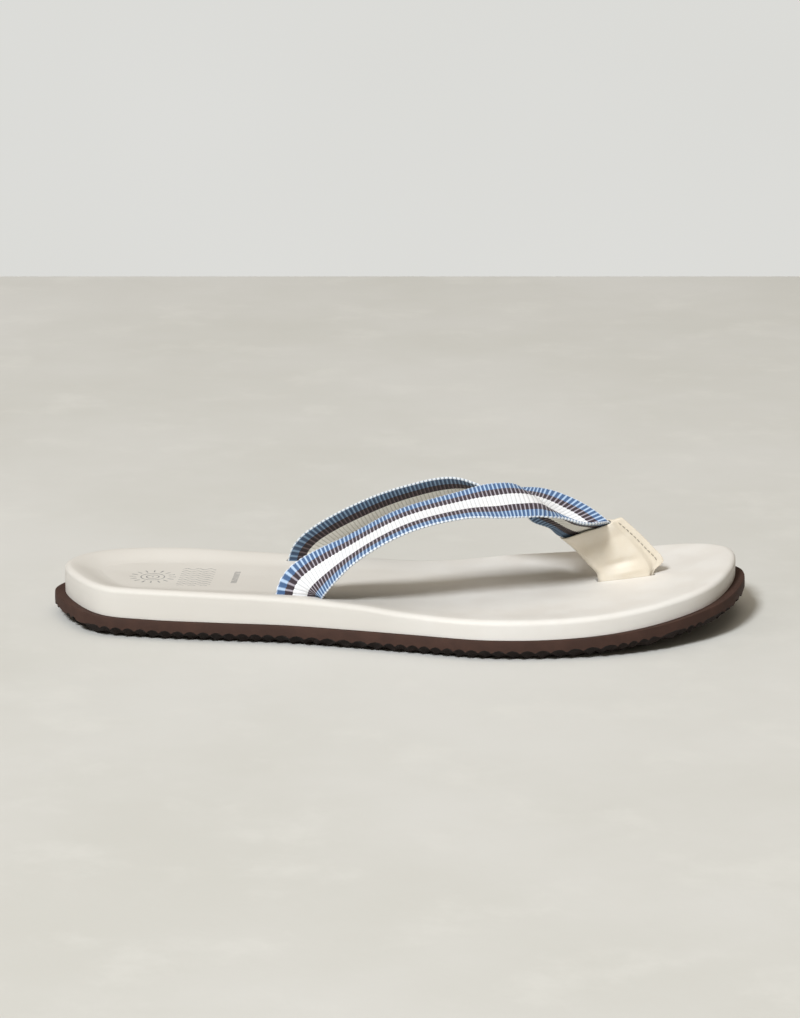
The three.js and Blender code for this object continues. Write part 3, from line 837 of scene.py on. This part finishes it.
def make_tack(name, middle, angle, finish, node):
    """A bar tack: thread sewn to and fro across a ribbon's tail."""
    half = TACK["width"] / 2 - THREAD_THICKNESS / 2
    path = []
    for n in range(TACK_PASSES + 1):
        along = (n / TACK_PASSES - 0.5) * (TACK["length"] - 2 * GAP)
        across = half if n % 2 else -half
        x = middle[0] + along * math.cos(angle) - across * math.sin(angle)
        y = middle[1] + along * math.sin(angle) + across * math.cos(angle)
        path.append((x, y, TACK_BOTTOM + THREAD_THICKNESS / 2 + float(lift(x))))
    path = curve(path, 4)
    mesh = cleaned(new_mesh(name, *tube(path, np.full(len(path), THREAD_RADIUS), 6)))
    return new_piece(name, mesh, finish, "thread", node, sharp_angle=60)


# ---- Node materials ----
class Nodes:
    """A node tree under construction. Any value may be a number or another node's output."""

    def __init__(self, tree, coordinates):
        self.tree = tree
        self.place = tree.nodes.new("ShaderNodeTexCoord").outputs[coordinates]

    def feed(self, socket, value):
        if isinstance(value, bpy.types.NodeSocket):
            self.tree.links.new(value, socket)
        else:
            socket.default_value = value

    def node(self, kind, inputs, output=0, **settings):
        made = self.tree.nodes.new(kind)
        for key, value in settings.items():
            setattr(made, key, value)
        for key, value in inputs.items():
            self.feed(made.inputs[key], value)
        return made.outputs[output]

    def math(self, operation, *values):
        return self.node("ShaderNodeMath", dict(enumerate(values)), operation=operation)

    def coordinate(self, axis):
        split = self.tree.nodes.new("ShaderNodeSeparateXYZ")
        self.feed(split.inputs[0], self.place)
        return self.math("DIVIDE", split.outputs[axis], MM)

    def along_foot(self):
        return self.coordinate(0)

    def across_foot(self):
        return self.coordinate(1)

    def noise(self, scale, detail=4.0, roughness=0.5, vector=None):
        inputs = {"Vector": vector or self.place, "Scale": scale, "Detail": detail, "Roughness": roughness}
        return self.node("ShaderNodeTexNoise", inputs)

    def between(self, value, low, high, start=0.0, end=1.0):
        """value taken from the range low to high to the range start to end, held inside it."""
        inputs = {0: value, 1: low, 2: high, 3: start, 4: end}
        return self.node("ShaderNodeMapRange", inputs, interpolation_type="SMOOTHSTEP")

    def mix(self, factor, first, second):
        inputs = {0: factor, 6: first, 7: second}
        return self.node("ShaderNodeMix", inputs, output=2, data_type="RGBA")

    def bands(self, value, stops):
        """A colour by value: each stop is where its flat colour begins."""
        made = self.tree.nodes.new("ShaderNodeValToRGB")
        ramp = made.color_ramp
        ramp.interpolation = "CONSTANT"
        for position, colour in stops[1:]:
            ramp.elements.new(position)
        while len(ramp.elements) > len(stops):
            ramp.elements.remove(ramp.elements[-1])
        for element, (position, colour) in zip(ramp.elements, stops):
            element.position = position
            element.color = colour
        self.feed(made.inputs[0], value)
        return made.outputs[0]

    def bump(self, height, distance, strength=1.0, normal=None):
        inputs = {"Height": height, "Distance": distance * MM, "Strength": strength}
        if normal is not None:
            inputs["Normal"] = normal
        return self.node("ShaderNodeBump", inputs)


class Finish(Nodes):
    """A procedural material."""

    def __init__(self, name):
        self.material = bpy.data.materials.new(name)
        self.material.use_nodes = True
        super().__init__(self.material.node_tree, "Object")
        self.shader = self.tree.nodes["Principled BSDF"]

    def done(self, **sockets):
        for name, value in sockets.items():
            self.feed(self.shader.inputs[name.replace("_", " ")], value)
        return self.material


def rgb(red, green, blue):
    """A colour given as on a screen, from 0 to 255, as linear values."""
    values = [c / 255 for c in (red, green, blue)]
    return (*[v / 12.92 if v <= 0.04045 else ((v + 0.055) / 1.055) ** 2.4 for v in values], 1)


SUN = {"x": -101, "y": -2.5, "disc": 6, "rays": (8.2, 1.4), "line": 0.5}
WAVES = {"x": (-83, 7), "y": (-2.5, 13), "pitch": 3.1, "line": 0.5, "swing": 0.8}
DASHES = {"x": (-66.8, 1.2), "y": (-2, 9), "pitch": 1.7, "line": 0.9}


def heel_print(f):
    """How strongly the print on the heel shows: a sun with rays, waves beside it, and a row of dashes."""
    x, y = f.along_foot(), f.across_foot()

    def within(value, place):
        middle, half = place
        return f.math("LESS_THAN", f.math("ABSOLUTE", f.math("SUBTRACT", value, middle)), half)

    def lines(value, pitch, width):
        return f.math("LESS_THAN", f.math("FRACT", f.math("DIVIDE", value, pitch)), width / pitch)

    def both(*masks):
        product = masks[0]
        for mask in masks[1:]:
            product = f.math("MULTIPLY", product, mask)
        return product

    sun_x, sun_y = f.math("SUBTRACT", x, SUN["x"]), f.math("SUBTRACT", y, SUN["y"])
    squares = [f.math("MULTIPLY", side, side) for side in (sun_x, sun_y)]
    out = f.math("SQRT", f.math("ADD", *squares))
    angle = f.math("ARCTAN2", sun_y, sun_x)
    discs = both(lines(out, 2.3, SUN["line"]), f.math("LESS_THAN", out, SUN["disc"]))
    rays = both(lines(angle, math.pi / 8, 0.07), within(out, SUN["rays"]))
    swing = f.math("MULTIPLY", f.math("SINE", f.math("MULTIPLY", x, 1.3)), WAVES["swing"])
    wavy = lines(f.math("ADD", y, swing), WAVES["pitch"], WAVES["line"])
    waves = both(wavy, within(x, WAVES["x"]), within(y, WAVES["y"]))
    row = lines(y, DASHES["pitch"], DASHES["line"])
    dashes = both(row, within(x, DASHES["x"]), within(y, DASHES["y"]))
    print_mask = discs
    for mask in (rays, waves, dashes):
        print_mask = f.math("MAXIMUM", print_mask, mask)
    return print_mask


def foam_finish():
    f = Finish("eva_foam")
    mottle = f.noise(60, 3)
    grain = f.noise(2600, 2)
    mottled_tone = f.mix(f.between(mottle, 0.35, 0.65), rgb(222, 218, 212), rgb(226, 223, 218))
    # The foam's colour darkens towards the heel, from x = 40 down to x = -10.
    darker_to_heel = f.between(f.along_foot(), -10, 40, 0.85, 0.0)
    colour = f.mix(darker_to_heel, mottled_tone, rgb(210, 206, 199))
    worn = f.between(f.noise(500, 3), 0.3, 0.6, 0.4, 0.9)
    colour = f.mix(f.math("MULTIPLY", heel_print(f), worn), colour, rgb(108, 111, 114))
    skin = f.bump(grain, 0.05, 0.35)
    waves = f.bump(f.noise(110, 2), 0.25, 0.25, skin)
    rough = f.between(mottle, 0.3, 0.7, 0.55, 0.66)
    return f.done(Base_Color=colour, Roughness=rough, Normal=waves, Specular_IOR_Level=0.35)


def rubber_finish(name, dark, light):
    f = Finish(name)
    dust = f.noise(90, 5, 0.6)
    grain = f.noise(1500, 3)
    colour = f.mix(f.between(dust, 0.35, 0.7), dark, light)
    skin = f.bump(grain, 0.08, 0.5)
    rough = f.between(dust, 0.3, 0.7, 0.7, 0.85)
    return f.done(Base_Color=colour, Roughness=rough, Normal=skin, Specular_IOR_Level=0.25)


# The ribbon's stripes from one edge to the other, by where each begins
STRIPES = [
    (0, "edge"),
    (0.022, "blue"),
    (0.18, "dark"),
    (0.35, "white"),
    (0.65, "dark"),
    (0.82, "blue"),
    (0.978, "edge"),
]
YARNS = 62  # across the ribbon's width
# How wide each rib's pale crest shows, as a share of half a rib. The pale crest is partly the yarn's own
# colour and partly painted highlight.
CREST = {"edge": 0.36, "blue": 0.18, "dark": 0.14, "white": 0.38}


def ribbon_finish(name, grooves, crests):
    """Ribbed weave in stripes. grooves and crests give each stripe's two colours: partly the yarns' own
    colours, partly painted shade in the grooves and painted highlight on the crests.
    """
    f = Finish(name)
    uv = f.node("ShaderNodeUVMap", {}, uv_map="Weave")
    split = f.tree.nodes.new("ShaderNodeSeparateXYZ")
    f.feed(split.inputs[0], uv)
    across, along = split.outputs[0], split.outputs[1]
    fuzz = f.noise(3200, 3)
    groove_colour = f.bands(across, [(start, grooves[stripe]) for start, stripe in STRIPES])
    crest_colour = f.bands(across, [(start, crests[stripe]) for start, stripe in STRIPES])
    crest_width = f.bands(across, [(start, (CREST[stripe],) * 3 + (1,)) for start, stripe in STRIPES])
    from_crest = f.math("ABSOLUTE", f.math("SUBTRACT", f.math("FRACT", along), 0.5))
    uneven = f.math("MULTIPLY_ADD", fuzz, 0.12, f.math("SUBTRACT", from_crest, crest_width))
    crest = f.between(uneven, -0.04, 0.16, 1.0, 0.0)
    colour = f.mix(crest, groove_colour, crest_colour)
    yarn = f.math("SINE", f.math("MULTIPLY", across, 2 * math.pi * YARNS))
    shade_of_nap = f.between(fuzz, 0.3, 0.7, 0.9, 1.0)
    colour = f.node(
        "ShaderNodeMix", {0: 1.0, 6: colour, 7: shade_of_nap}, 2, data_type="RGBA", blend_type="MULTIPLY"
    )
    weave = f.bump(yarn, 0.05, 0.5)
    nap = f.bump(fuzz, 0.08, 0.4, weave)
    return f.done(Base_Color=colour, Roughness=0.8, Normal=nap, Specular_IOR_Level=0.25, Sheen_Weight=0.15)


def front_finish():
    grooves = {
        "edge": rgb(146, 166, 194),
        "blue": rgb(76, 104, 144),
        "dark": rgb(64, 54, 60),
        "white": rgb(214, 216, 218),
    }
    crests = {
        "edge": rgb(232, 237, 244),
        "blue": rgb(182, 206, 234),
        "dark": rgb(178, 172, 182),
        "white": rgb(244, 244, 246),
    }
    return ribbon_finish("grosgrain_front", grooves, crests)


# The same stripes as the front, made darker: painted shade for the ribbon's back faces, which lie in
# shadow.
def shaded_back_finish():
    grooves = {
        "edge": rgb(120, 138, 158),
        "blue": rgb(62, 80, 104),
        "dark": rgb(46, 37, 39),
        "white": rgb(198, 196, 184),
    }
    crests = {
        "edge": rgb(222, 228, 232),
        "blue": rgb(126, 152, 178),
        "dark": rgb(98, 85, 86),
        "white": rgb(228, 226, 218),
    }
    return ribbon_finish("grosgrain_back_painted_shade", grooves, crests)


def leather_finish():
    f = Finish("cream_leather")
    cloud = f.noise(120, 4)
    pores = f.node("ShaderNodeTexVoronoi", {"Vector": f.place, "Scale": 1500.0})
    grain = f.noise(900, 4, 0.6)
    colour = f.mix(f.between(cloud, 0.35, 0.7), rgb(232, 222, 204), rgb(236, 228, 213))
    skin = f.bump(pores, 0.06, 0.35)
    nap = f.bump(grain, 0.15, 0.35, skin)
    rough = f.between(cloud, 0.3, 0.7, 0.6, 0.75)
    return f.done(Base_Color=colour, Roughness=rough, Normal=nap, Specular_IOR_Level=0.3, Sheen_Weight=0.15)


def thread_finish():
    f = Finish("twisted_thread")
    twist = f.node("ShaderNodeTexWave", {"Vector": f.place, "Scale": 900.0, "Distortion": 1.5})
    colour = f.mix(twist, rgb(142, 133, 118), rgb(206, 199, 184))
    return f.done(Base_Color=colour, Roughness=0.7, Normal=f.bump(twist, 0.08, 0.6))


def felt_finish():
    f = Finish("anchor_felt")
    fibres = f.noise(2200, 6, 0.7)
    colour = f.mix(fibres, rgb(160, 150, 136), rgb(196, 188, 174))
    return f.done(Base_Color=colour, Roughness=0.95, Normal=f.bump(fibres, 0.2, 0.7), Sheen_Weight=0.3)


def floor_finish():
    f = Finish("pale_plaster")
    clouds = f.noise(4, 6, 0.6)
    strokes = f.noise(22, 5, 0.6)
    grain = f.noise(420, 4)
    colour = f.mix(f.between(clouds, 0.3, 0.7), rgb(203, 202, 196), rgb(211, 210, 206))
    colour = f.mix(f.between(strokes, 0.5, 0.75, 0.0, 0.5), colour, rgb(217, 216, 211))
    return f.done(Base_Color=colour, Roughness=0.85, Normal=f.bump(grain, 0.15, 0.3))


# ---- Studio ----
AMBIENT = 0.32  # strength of the light from above
CAMERA = {"place": (0.1081, -1.5355, 0.4509), "azimuth": 4, "elevation": 14.7, "lens": 137.9}


def make_camera():
    camera = bpy.data.objects.new("camera", bpy.data.cameras.new("camera"))
    bpy.context.scene.collection.objects.link(camera)
    a, e = math.radians(CAMERA["azimuth"]), math.radians(CAMERA["elevation"])
    forward = Vector((-math.sin(a) * math.cos(e), math.cos(a) * math.cos(e), -math.sin(e)))
    camera.location = CAMERA["place"]
    camera.rotation_mode = "QUATERNION"
    camera.rotation_quaternion = forward.to_track_quat("-Z", "Y")
    camera.data.lens = CAMERA["lens"]
    camera.data.sensor_width = 36
    camera.data.clip_start = 0.05
    camera.data.clip_end = 30
    bpy.context.scene.camera = camera


def staged_plane(name, corners, finish):
    mesh = bpy.data.meshes.new(name)
    mesh.from_pydata(corners, [], [(0, 1, 2, 3)])
    mesh.materials.append(finish)
    plane = bpy.data.objects.new(name, mesh)
    bpy.context.scene.collection.objects.link(plane)


def make_table():
    """A pale table top, square to the camera, that ends behind the sandal."""
    turn = math.radians(CAMERA["azimuth"])
    near, far, wide = -3.2, 0.72, 3.0
    corners = []
    for side, depth in ((-wide, near), (wide, near), (wide, far), (-wide, far)):
        x = side * math.cos(turn) - depth * math.sin(turn)
        y = side * math.sin(turn) + depth * math.cos(turn)
        corners.append((x, y, 0))
    staged_plane("floor", corners, floor_finish())


def make_surroundings():
    """Soft warm light from above, and below the horizon the pale wall seen past the table's edge."""
    world = bpy.data.worlds.new("room")
    world.use_nodes = True
    n = Nodes(world.node_tree, "Generated")
    wall = n.mix(n.noise(12, 2), rgb(218, 218, 214), rgb(222, 222, 219))
    above = (*[AMBIENT * c for c in rgb(224, 212, 194)[:3]], 1)
    colour = n.mix(n.math("LESS_THAN", n.coordinate(2), 0), above, wall)
    n.feed(world.node_tree.nodes["Background"].inputs["Color"], colour)
    bpy.context.scene.world = world


def area_light(name, place, size, power, colour):
    """A round lamp that aims at the origin."""
    data = bpy.data.lights.new(name, "AREA")
    data.shape = "DISK"
    data.size = size
    data.energy = power
    data.color = colour
    light = bpy.data.objects.new(name, data)
    bpy.context.scene.collection.objects.link(light)
    light.location = place
    light.rotation_mode = "QUATERNION"
    light.rotation_quaternion = (-Vector(place)).to_track_quat("-Z", "Y")


def make_light():
    area_light("key", (-2.2, -4.8, 5.3), 1.7, 545, (0.93, 0.965, 1))
    area_light("ceiling", (0, -0.8, 3.0), 3, 26, (1, 0.93, 0.82))
    bpy.context.scene.view_settings.view_transform = "Standard"


# ---- The sandal ----
make_camera()
make_table()
make_surroundings()
make_light()

make_footbed(foam_finish())
side_rubber = rubber_finish("moulded_rubber", rgb(62, 43, 36), rgb(72, 51, 43))
# The darker rubber on the downward faces is painted shade, for the tread in shadow under the sole.
painted_shade_tread_rubber = rubber_finish("painted_shade_tread_rubber", rgb(30, 22, 19), rgb(40, 30, 26))
make_outsole(side_rubber, painted_shade_tread_rubber)
grosgrain = (front_finish(), shaded_back_finish())
make_ribbon("lateral_ribbon", OUTER_SLOT, LATERAL_ARCH, -1, grosgrain, "lateral_strap")
make_ribbon("medial_ribbon", INNER_SLOT, MEDIAL_ARCH, 1, grosgrain, "medial_strap")
make_sleeve(leather_finish())
thread = thread_finish()
make_stitches("outer_seam_stitches", -1, thread, "outer_seam_thread")
make_stitches("inner_seam_stitches", 1, thread, "inner_seam_thread")
for side, slot in (("lateral", OUTER_SLOT), ("medial", INNER_SLOT)):
    middle = slot_point(slot, 0, TACK["from_slot"], 0)
    make_tack(side + "_strap_bar_tack", middle, slot["angle"], thread, side + "_strap_tack")
for side, face in (("lateral", -1), ("medial", 1)):
    middle = post_point(sum(TOE_SLOT) / 2, face * TACK["from_slot"], 0)
    make_tack(side + "_toe_bar_tack", middle, POST_ANGLE, thread, side + "_toe_tack")
felt = felt_finish()
for name in ("lateral_anchor_patch", "medial_anchor_patch", "toe_anchor_patch"):
    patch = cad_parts[name]
    patch.data.materials.clear()
    patch.data.materials.append(felt)
